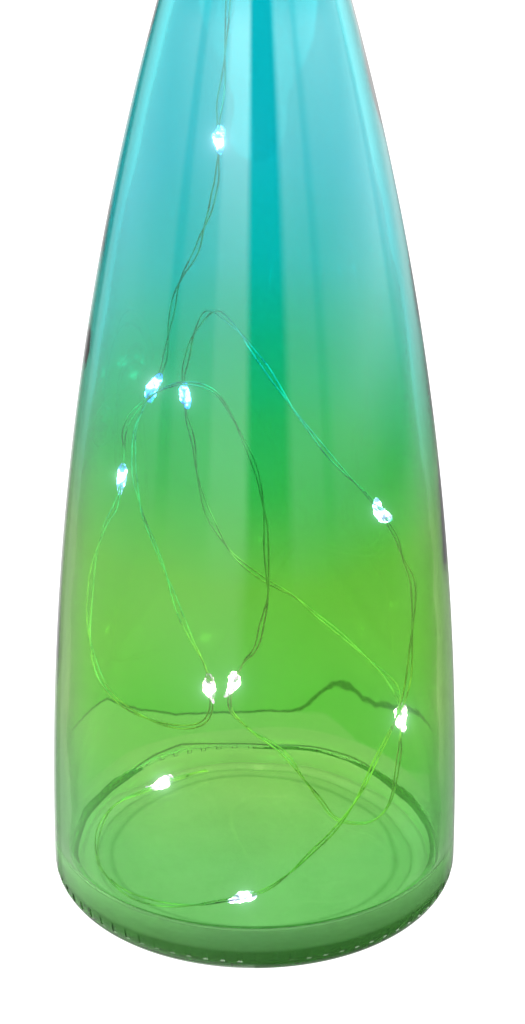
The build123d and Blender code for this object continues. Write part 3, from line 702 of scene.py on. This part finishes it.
# Heel of the bottle: green lacquer with painted shade where the bottle meets the table, deep green from outside and
# darkest at the bottom, and pale through the glass from inside, where no shade is painted
heel_lacquer_shade, tree, shader = new_material(
    "thick_lacquer_glass", {"Transmission Weight": 1.0, "Roughness": 0.04, "IOR": 1.5}
)
coords = node(tree, "ShaderNodeTexCoord")
place = node(tree, "ShaderNodeSeparateXYZ", links={"Vector": coords.outputs["Object"]})
height = node(
    tree, "ShaderNodeMapRange", inputs={"From Max": HEEL_TOP * MM}, links={"Value": place.outputs["Z"]}
)
run = node(
    tree, "ShaderNodeValToRGB", links={"Fac": height.outputs["Result"]},
    stops=[(low / HEEL_TOP, linear(colour)) for low, colour in HEEL_SHADE_FADE],
)
# Painted shade only from outside: seen from inside, the heel is pale
sides = node(tree, "ShaderNodeNewGeometry")
tint = node(
    tree, "ShaderNodeMix", {"data_type": "RGBA"}, {7: linear("#a8d4a0")},
    {0: sides.outputs["Backfacing"], 6: run.outputs["Color"]},
)
tree.links.new(tint.outputs[2], shader.inputs["Base Color"])

# Which glass each face of the bottle shows: the first is the outside's
for glass in (lacquered_glass, bare_glass, lacquered_inside, stippled_foot, heel_lacquer_shade):
    bottle.data.materials.append(glass)
BARE_FLOOR, INSIDE, UNDERSIDE, HEEL = 1, 2, 3, 4
FOOT_MARGIN = 0.2
FLOOR_MARGIN = 1
foot_edge = side(SIDE_SWEEP - WALL, FLOOR) - FLOOR_CORNER - FOOT_MARGIN
floor_top = FLOOR + FLOOR_CORNER + FLOOR_MARGIN
for face in bottle.data.polygons:
    in_middle = hypot(face.center.x, face.center.y) < foot_edge * MM and face.center.z < floor_top * MM
    if in_middle and abs(face.normal.z) > 0.5:
        face.material_index = BARE_FLOOR if face.normal.z > 0 else UNDERSIDE
    elif is_inside(face.center):
        face.material_index = INSIDE
    elif face.center.z < HEEL_TOP * MM:
        face.material_index = HEEL

# Silver-plated copper wire under clear enamel: bright, softly mirrored, with dull spots where it was handled
enamelled_wire, tree, shader = new_material("enamelled_silver_wire", {"Metallic": 1.0})
handled = mottled(tree, shader, 5 * MM, (0.35, "#b6b09a"), (0.65, "#eee6cc"))
dull = node(
    tree, "ShaderNodeMapRange", inputs={"To Min": 0.18, "To Max": 0.42}, links={"Value": handled.outputs["Fac"]}
)
tree.links.new(dull.outputs["Result"], shader.inputs["Roughness"])

# Clear epoxy cast on the wire by hand: a lumpy drop that carries the chip's cold white light, lilac at its ends
lit_resin, tree, shader = new_material(
    "lit_epoxy_resin", {"Transmission Weight": 1.0, "Roughness": 0.08, "IOR": 1.53, "Emission Strength": 40.0}
)
near_chip = node(tree, "ShaderNodeAttribute", {"attribute_name": "lit"})
coords = node(tree, "ShaderNodeTexCoord")
drops = node(
    tree, "ShaderNodeTexNoise", inputs={"Scale": 1 / (1.4 * MM), "Detail": 1.0},
    links={"Vector": coords.outputs["Object"]},
)
cloudy = node(
    tree, "ShaderNodeMapRange", inputs={"From Min": 0.35, "From Max": 0.65, "To Min": -0.4, "To Max": 0.25},
    links={"Value": drops.outputs["Fac"]},
)
carried = node(
    tree, "ShaderNodeMath", {"operation": "ADD"}, (), {0: near_chip.outputs["Fac"], 1: cloudy.outputs["Result"]}
)
glow = node(
    tree, "ShaderNodeValToRGB", links={"Fac": carried.outputs["Value"]},
    stops=[
        (0.0, linear("#080410")), (0.15, linear("#24103c")), (0.5, linear("#4a2062")), (0.68, linear("#d8c4ff")),
        (1.0, linear("#ffffff")),
    ],
)
ray = node(tree, "ShaderNodeLightPath")
mirrored = node(
    tree, "ShaderNodeMapRange", inputs={"To Min": 1.0, "To Max": 0.06}, links={"Value": ray.outputs["Glossy Depth"]}
)
shown = node(
    tree, "ShaderNodeMix", {"data_type": "RGBA"}, {6: (0, 0, 0, 1)},
    {0: mirrored.outputs["Result"], 7: glow.outputs["Color"]},
)
tree.links.new(shown.outputs[2], shader.inputs["Emission Color"])
bubbles = node(
    tree, "ShaderNodeTexNoise", inputs={"Scale": 1 / (0.6 * MM), "Detail": 1.0},
    links={"Vector": coords.outputs["Object"]},
)
skin = node(
    tree, "ShaderNodeBump", inputs={"Strength": 0.5, "Distance": 0.1 * MM}, links={"Height": bubbles.outputs["Fac"]}
)
tree.links.new(skin.outputs["Normal"], shader.inputs["Normal"])

# Phosphor on the lamp chip: pale yellow, and far brighter than anything else when lit
lit_phosphor, tree, shader = new_material("lit_phosphor", {"Roughness": 0.6, "Emission Strength": 12.0})
mottled(tree, shader, 0.2 * MM, (0.3, "#e8d870"), (0.7, "#f8f0b8"))
shader.inputs["Emission Color"].default_value = linear("#eef5ff")

# Agglomerated cork: ground granules pressed with a binder, tan to brown, dull, with dark gaps and pits
moulded_cork, tree, shader = new_material("agglomerated_cork", {"Roughness": 0.86, "Specular IOR Level": 0.25})
coords = node(tree, "ShaderNodeTexCoord")
bend = node(
    tree, "ShaderNodeTexNoise", inputs={"Scale": 1 / (3 * MM), "Detail": 2.0},
    links={"Vector": coords.outputs["Object"]},
)
bent = node(
    tree, "ShaderNodeMix", {"data_type": "VECTOR"},
    {0: 0.0009}, {4: coords.outputs["Object"], 5: bend.outputs["Color"]},
)
granule = node(
    tree, "ShaderNodeTexVoronoi", {"feature": "F1"}, {"Scale": 1 / (2.2 * MM)}, {"Vector": bent.outputs[1]}
)
tone = node(tree, "ShaderNodeSeparateColor", links={"Color": granule.outputs["Color"]})
cork = node(
    tree, "ShaderNodeValToRGB", links={"Fac": tone.outputs["Red"]},
    stops=[
        (0.0, linear("#8a5c36")), (0.2, linear("#a87848")), (0.5, linear("#c29562")), (0.8, linear("#d3ab78")),
        (1.0, linear("#b5854f")),
    ],
)
gaps = node(
    tree, "ShaderNodeTexVoronoi", {"feature": "DISTANCE_TO_EDGE"}, {"Scale": 1 / (2.2 * MM)},
    {"Vector": bent.outputs[1]},
)
pits = node(
    tree, "ShaderNodeTexNoise", inputs={"Scale": 1 / (0.7 * MM), "Detail": 4.0, "Roughness": 0.65},
    links={"Vector": coords.outputs["Object"]},
)
pitted = node(
    tree, "ShaderNodeMapRange", inputs={"From Min": 0.36, "From Max": 0.5}, links={"Value": pits.outputs["Fac"]}
)
joined = node(tree, "ShaderNodeMapRange", inputs={"From Max": 0.09}, links={"Value": gaps.outputs["Distance"]})
whole = node(
    tree, "ShaderNodeMath", {"operation": "MULTIPLY"}, (), {0: pitted.outputs["Result"], 1: joined.outputs["Result"]}
)
surface = node(
    tree, "ShaderNodeMix", {"data_type": "RGBA"}, {6: linear("#5d3a20")},
    {0: whole.outputs["Value"], 7: cork.outputs["Color"]},
)
tree.links.new(surface.outputs[2], shader.inputs["Base Color"])
skin = node(
    tree, "ShaderNodeBump", inputs={"Strength": 0.8, "Distance": 0.25 * MM}, links={"Height": whole.outputs["Value"]}
)
tree.links.new(skin.outputs["Normal"], shader.inputs["Normal"])

# Moulded rubber: near black, soft sheen only, faintly dusty
rubber, tree, shader = new_material("moulded_rubber", {"Roughness": 0.78, "Specular IOR Level": 0.35})
dust = mottled(tree, shader, 0.5 * MM, (0.3, "#1b1b1c"), (0.75, "#343332"), 3.0)
skin = node(
    tree, "ShaderNodeBump", inputs={"Strength": 0.3, "Distance": 0.05 * MM}, links={"Height": dust.outputs["Fac"]}
)
tree.links.new(skin.outputs["Normal"], shader.inputs["Normal"])

# Black ABS from a spark-eroded mould: an even fine grain, drawn at 0.4 mm so that it shows
black_abs, tree, shader = new_material("black_abs", {"Specular IOR Level": 0.3})
grain = mottled(tree, shader, 0.4 * MM, (0.3, "#17181a"), (0.7, "#26272a"))
dull = node(tree, "ShaderNodeMapRange", inputs={"To Min": 0.38, "To Max": 0.6}, links={"Value": grain.outputs["Fac"]})
tree.links.new(dull.outputs["Result"], shader.inputs["Roughness"])
skin = node(
    tree, "ShaderNodeBump", inputs={"Strength": 0.35, "Distance": 0.04 * MM}, links={"Height": grain.outputs["Fac"]}
)
tree.links.new(skin.outputs["Normal"], shader.inputs["Normal"])

# White ABS knob: bright and satin, with thumb grime that gathers in patches
white_abs, tree, shader = new_material("white_abs", {"Roughness": 0.4})
mottled(tree, shader, 1.1 * MM, (0.3, "#cfccc2"), (0.55, "#efeee8"), 4.0)

# Glass-fibre board under green solder mask: glossy, with the weave of its cloth showing through
board_laminate, tree, shader = new_material("glass_fibre_board", {"Roughness": 0.3, "Coat Weight": 0.4})
coords = node(tree, "ShaderNodeTexCoord")
warp = node(
    tree, "ShaderNodeTexWave", {"bands_direction": "X"}, {"Scale": 0.314 / (0.5 * MM)},
    {"Vector": coords.outputs["Object"]},
)
weft = node(
    tree, "ShaderNodeTexWave", {"bands_direction": "Y"}, {"Scale": 0.314 / (0.5 * MM)},
    {"Vector": coords.outputs["Object"]},
)
weave = node(tree, "ShaderNodeMath", {"operation": "MULTIPLY"}, (), {0: warp.outputs["Fac"], 1: weft.outputs["Fac"]})
mask = node(
    tree, "ShaderNodeValToRGB", links={"Fac": weave.outputs["Value"]},
    stops=[(0.0, linear("#14502c")), (1.0, linear("#2c7c4a"))],
)
tree.links.new(mask.outputs["Color"], shader.inputs["Base Color"])

# Chip resistor: a black glazed top on white ceramic, with bright tinned ends
resistor_low, resistor_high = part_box("resistor")
resistor_middle = (Vector(resistor_low) + Vector(resistor_high)) / 2
resistor_size = Vector(resistor_high) - Vector(resistor_low)
long_axis = "X" if resistor_size.x > resistor_size.y else "Y"
chip_ceramic, tree, shader = new_material("glazed_chip_ceramic", {"Roughness": 0.35})
coords = node(tree, "ShaderNodeTexCoord")
from_middle = node(
    tree, "ShaderNodeVectorMath", {"operation": "SUBTRACT"}, {1: resistor_middle}, {0: coords.outputs["Object"]}
)
place = node(tree, "ShaderNodeSeparateXYZ", links={"Vector": from_middle.outputs["Vector"]})
reach = node(tree, "ShaderNodeMath", {"operation": "ABSOLUTE"}, (), {0: place.outputs[long_axis]})
end = node(
    tree, "ShaderNodeMath", {"operation": "GREATER_THAN"}, {1: max(resistor_size.x, resistor_size.y) / 2 - 0.4 * MM},
    {0: reach.outputs["Value"]},
)
body = node(
    tree, "ShaderNodeTexNoise", inputs={"Scale": 1 / (0.3 * MM)}, links={"Vector": coords.outputs["Object"]}
)
glaze = node(
    tree, "ShaderNodeValToRGB", links={"Fac": body.outputs["Fac"]},
    stops=[(0.3, linear("#1c1c1f")), (0.7, linear("#2b2a2d"))],
)
ends = node(
    tree, "ShaderNodeMix", {"data_type": "RGBA"}, {7: linear("#c9c9c6")},
    {0: end.outputs["Value"], 6: glaze.outputs["Color"]},
)
tree.links.new(ends.outputs[2], shader.inputs["Base Color"])
tree.links.new(end.outputs["Value"], shader.inputs["Metallic"])

# Nickel-plated spring steel: warm grey metal, rolled along the strip, so fine lines run its length
nickel_strip, tree, shader = new_material("nickel_plated_strip", {"Metallic": 1.0})
coords = node(tree, "ShaderNodeTexCoord")
rolled = node(
    tree, "ShaderNodeMapping", inputs={"Scale": (1 / (0.25 * MM), 1 / (0.25 * MM), 1 / (8 * MM))},
    links={"Vector": coords.outputs["Object"]},
)
lines = node(
    tree, "ShaderNodeTexNoise", inputs={"Scale": 1.0, "Detail": 3.0}, links={"Vector": rolled.outputs["Vector"]}
)
nickel = node(
    tree, "ShaderNodeValToRGB", links={"Fac": lines.outputs["Fac"]},
    stops=[(0.3, linear("#a8a49a")), (0.7, linear("#d6d2c6"))],
)
tree.links.new(nickel.outputs["Color"], shader.inputs["Base Color"])
dull = node(tree, "ShaderNodeMapRange", inputs={"To Min": 0.2, "To Max": 0.42}, links={"Value": lines.outputs["Fac"]})
tree.links.new(dull.outputs["Result"], shader.inputs["Roughness"])

# Deep-drawn stainless steel of the cells: cool grey metal with fine turned rings and draw lines
drawn_steel, tree, shader = new_material("deep_drawn_steel", {"Metallic": 1.0})
coords = node(tree, "ShaderNodeTexCoord")
place = node(tree, "ShaderNodeSeparateXYZ", links={"Vector": coords.outputs["Object"]})
flat_place = node(tree, "ShaderNodeCombineXYZ", links={"X": place.outputs["X"], "Y": place.outputs["Y"]})
out = node(tree, "ShaderNodeVectorMath", {"operation": "LENGTH"}, (), {0: flat_place.outputs["Vector"]})
turned = node(tree, "ShaderNodeCombineXYZ", links={"X": out.outputs["Value"], "Y": place.outputs["Z"]})
rings = node(
    tree, "ShaderNodeTexNoise", inputs={"Scale": 1 / (0.22 * MM), "Detail": 2.0},
    links={"Vector": turned.outputs["Vector"]},
)
steel = node(
    tree, "ShaderNodeValToRGB", links={"Fac": rings.outputs["Fac"]},
    stops=[(0.3, linear("#b4b6b8")), (0.7, linear("#dcdddd"))],
)
tree.links.new(steel.outputs["Color"], shader.inputs["Base Color"])
dull = node(tree, "ShaderNodeMapRange", inputs={"To Min": 0.2, "To Max": 0.38}, links={"Value": rings.outputs["Fac"]})
tree.links.new(dull.outputs["Result"], shader.inputs["Roughness"])

# Moulded nylon sealing rings: milky, waxy and slightly yellow
nylon, tree, shader = new_material("moulded_nylon", {"Roughness": 0.45, "Subsurface Weight": 0.3})
shader.inputs["Subsurface Radius"].default_value = (0.4 * MM, 0.35 * MM, 0.25 * MM)
mottled(tree, shader, 0.8 * MM, (0.3, "#d2cbb2"), (0.7, "#e8e3d0"))

# Finishes of the new pieces and of the nodes that stay; beads and chips keep out of mirror reflections
for bead in beads:
    bead.data.materials.append(lit_resin)
    bead.visible_glossy = False
lamp_wire.data.materials.append(enamelled_wire)
feed_strands.data.materials.append(enamelled_wire)

FINISHES = {
    "lacquered_glass": lacquered_glass, "moulded_cork": moulded_cork, "rubber": rubber, "black_plastic": black_abs,
    "white_plastic": white_abs, "board_laminate": board_laminate, "resistor_ceramic": chip_ceramic,
    "nickel_steel": nickel_strip, "cell_steel": drawn_steel, "nylon": nylon, "silver_wire": enamelled_wire,
    "clear_resin": lit_resin, "lamp_chip": lit_phosphor,
}
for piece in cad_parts.values():
    slot_name = piece.data.materials[0].name.split(".")[0]
    piece.data.materials[0] = FINISHES[slot_name]
for number in range(1, LAMP_COUNT + 1):
    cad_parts[f"led_chip_{number}"].visible_glossy = False

# White paper floor, bright enough to read as plain white
floor_paper, tree, shader = new_material(
    "white_paper", {"Roughness": 0.95, "Specular IOR Level": 0.0, "Emission Strength": 1.14}
)
shader.inputs["Base Color"].default_value = linear("#5c5c5c")
shader.inputs["Emission Color"].default_value = (1, 1, 1, 1)
floor.data.materials.append(floor_paper)

# Studio light: white walls of cloth round the bottle, with seams and a dark gap in front, and the table top that
# its mirror reflections show, further off and near by. Each stop is a bearing in degrees from the camera's side,
# to the right, and how bright it is there.
CLOTH = [
    (-180, 0.3), (-150, 0.4), (-125, 1.4), (-100, 1.8), (-66, 1.75), (-62, 0.9), (-57, 0.9), (-53, 1.55),
    (-30, 1.8), (-26, 2.8), (-7, 2.8), (-2, 0.02), (19, 0.02), (25, 1.6), (42, 1.6), (45, 1.1), (48, 1.1),
    (53, 1.8), (80, 2.6), (111, 3.0), (115, 2.0), (118, 2.0), (122, 2.6), (150, 0.9), (180, 0.4),
]
TABLE = [
    (-180, 0.8), (-161, 0.8), (-155, 0.06), (-146, 0.06), (-140, 0.75), (-110, 1.0), (-30, 1.3), (-12, 1.3),
    (-4, 0.3), (30, 0.05), (90, 0.1), (102, 0.3), (115, 0.6), (125, 0.9), (146, 1.3), (180, 1.2),
]
TABLE_NEAR = [
    (-180, 0.75), (-165, 0.75), (-160, 0.32), (-152, 0.28), (-147, 0.5), (-120, 0.6), (-90, 0.4), (-60, 0.25),
    (-30, 0.2), (-12, 0.15), (30, 0.03), (110, 0.05), (140, 0.12), (150, 0.3), (168, 0.35), (180, 0.3),
]
CLOTH_MOST = 4.0
PAPER_WALL = 1.15
BACKDROP = 1.05
world = bpy.data.worlds.new("studio")
world.use_nodes = True
world.cycles.sampling_method = "NONE"
bpy.context.scene.world = world
tree = world.node_tree
background = tree.nodes["Background"]
coords = node(tree, "ShaderNodeTexCoord")
way = node(tree, "ShaderNodeSeparateXYZ", links={"Vector": coords.outputs["Generated"]})
front = node(tree, "ShaderNodeMath", {"operation": "MULTIPLY"}, {1: -1.0}, {0: way.outputs["Y"]})
bearing = node(
    tree, "ShaderNodeMath", {"operation": "ARCTAN2"}, (), {0: way.outputs["X"], 1: front.outputs["Value"]}
)
round_share = node(
    tree, "ShaderNodeMapRange", inputs={"From Min": -pi, "From Max": pi}, links={"Value": bearing.outputs["Value"]}
)
cloth = node(
    tree, "ShaderNodeValToRGB", links={"Fac": round_share.outputs["Result"]},
    stops=[(degrees / 360 + 0.5, [bright / CLOTH_MOST] * 3 + [1]) for degrees, bright in CLOTH],
)
wall = node(tree, "ShaderNodeMath", {"operation": "MULTIPLY"}, {1: CLOTH_MOST}, {0: cloth.outputs["Color"]})

# The cloth is brighter above the level, and a little dimmer overhead
rise = node(
    tree, "ShaderNodeMapRange", {"interpolation_type": "SMOOTHSTEP"},
    {"From Min": sin(radians(-8)), "From Max": sin(radians(4)), "To Min": 0.95, "To Max": 2.6},
    {"Value": way.outputs["Z"]},
)
ceiling = node(
    tree, "ShaderNodeMapRange", {"interpolation_type": "SMOOTHSTEP"},
    {"From Min": sin(radians(12)), "From Max": sin(radians(40)), "To Min": 1.0, "To Max": 0.9},
    {"Value": way.outputs["Z"]},
)
lit = node(
    tree, "ShaderNodeMath", {"operation": "MULTIPLY"}, (), {0: wall.outputs["Value"], 1: rise.outputs["Result"]}
)
lit_wall = node(
    tree, "ShaderNodeMath", {"operation": "MULTIPLY"}, (), {0: lit.outputs["Value"], 1: ceiling.outputs["Result"]}
)

# The table lies below the cloth
table, table_near = (
    node(
        tree, "ShaderNodeValToRGB", links={"Fac": round_share.outputs["Result"]},
        stops=[(degrees / 360 + 0.5, [bright / CLOTH_MOST] * 3 + [1]) for degrees, bright in stretch],
    )
    for stretch in (TABLE, TABLE_NEAR)
)
far_off = node(
    tree, "ShaderNodeMapRange", {"interpolation_type": "SMOOTHSTEP"},
    {"From Min": sin(radians(-25.5)), "From Max": sin(radians(-20))}, {"Value": way.outputs["Z"]},
)
table_share = node(
    tree, "ShaderNodeMix", {"data_type": "FLOAT"},
    links={0: far_off.outputs["Result"], 2: table_near.outputs["Color"], 3: table.outputs["Color"]},
)
table_top = node(tree, "ShaderNodeMath", {"operation": "MULTIPLY"}, {1: CLOTH_MOST}, {0: table_share.outputs[0]})
above_table = node(
    tree, "ShaderNodeMapRange", {"interpolation_type": "SMOOTHSTEP"},
    {"From Min": sin(radians(-20)), "From Max": sin(radians(-13))}, {"Value": way.outputs["Z"]},
)
studio = node(
    tree, "ShaderNodeMix", {"data_type": "FLOAT"},
    links={0: above_table.outputs["Result"], 2: table_top.outputs["Value"], 3: lit_wall.outputs["Value"]},
)

# Matt surfaces take less of this light, and a white wall stands behind what is seen straight through the glass
ray = node(tree, "ShaderNodeLightPath")
soft = node(
    tree, "ShaderNodeMapRange", inputs={"To Min": 1.0, "To Max": 0.45}, links={"Value": ray.outputs["Is Diffuse Ray"]}
)
softened = node(
    tree, "ShaderNodeMath", {"operation": "MULTIPLY"}, (), {0: studio.outputs[0], 1: soft.outputs["Result"]}
)
above_floor = node(
    tree, "ShaderNodeMapRange", inputs={"From Min": sin(radians(-8)), "From Max": 0.0, "To Max": 0.8},
    links={"Value": way.outputs["Z"]},
)
not_mirrored = node(
    tree, "ShaderNodeMath", {"operation": "LESS_THAN"}, {1: 0.5}, {0: ray.outputs["Glossy Depth"]}
)
straight = node(
    tree, "ShaderNodeMath", {"operation": "MULTIPLY"}, (),
    {0: ray.outputs["Is Transmission Ray"], 1: not_mirrored.outputs["Value"]},
)
through_glass = node(
    tree, "ShaderNodeMath", {"operation": "MULTIPLY"}, (),
    {0: straight.outputs["Value"], 1: above_floor.outputs["Result"]},
)
paper_wall = node(
    tree, "ShaderNodeMix", {"data_type": "FLOAT"}, {3: PAPER_WALL},
    {0: through_glass.outputs["Value"], 2: softened.outputs["Value"]},
)
backdrop = node(
    tree, "ShaderNodeMix", {"data_type": "FLOAT"}, {3: BACKDROP},
    {0: ray.outputs["Is Camera Ray"], 2: paper_wall.outputs[0]},
)
tree.links.new(backdrop.outputs[0], background.inputs["Strength"])
background.inputs["Color"].default_value = (1, 1, 1, 1)

# The lamps' light scatters into a soft halo in the lens
scene = bpy.context.scene
scene.view_settings.view_transform = "Standard"
scene.cycles.max_bounces = 24
scene.cycles.transmission_bounces = 24
scene.cycles.glossy_bounces = 12
scene.use_nodes = True
tree = scene.node_tree
tree.nodes.clear()
picture = node(tree, "CompositorNodeRLayers")
halo = node(
    tree, "CompositorNodeGlare", {"glare_type": "BLOOM", "quality": "HIGH"},
    {
        "Threshold": 2.0, "Clamp": True, "Maximum": 16.0, "Strength": 0.25, "Saturation": 0.15, "Size": 0.2,
        "Tint": linear("#d8ebff"),
    },
    {"Image": picture.outputs["Image"]},
)
node(tree, "CompositorNodeComposite", links={"Image": halo.outputs["Image"]})

# Which piece stands for which, and what it moves with
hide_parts("bottle")
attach(bottle, "bottle")
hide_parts("feed_wire")
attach(feed_strands, "battery_tray")
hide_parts("led_wire")
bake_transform(lamp_wire)
for number, bead in enumerate(beads, start=1):
    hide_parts(f"led_drop_{number}")
    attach(bead, "bottle")
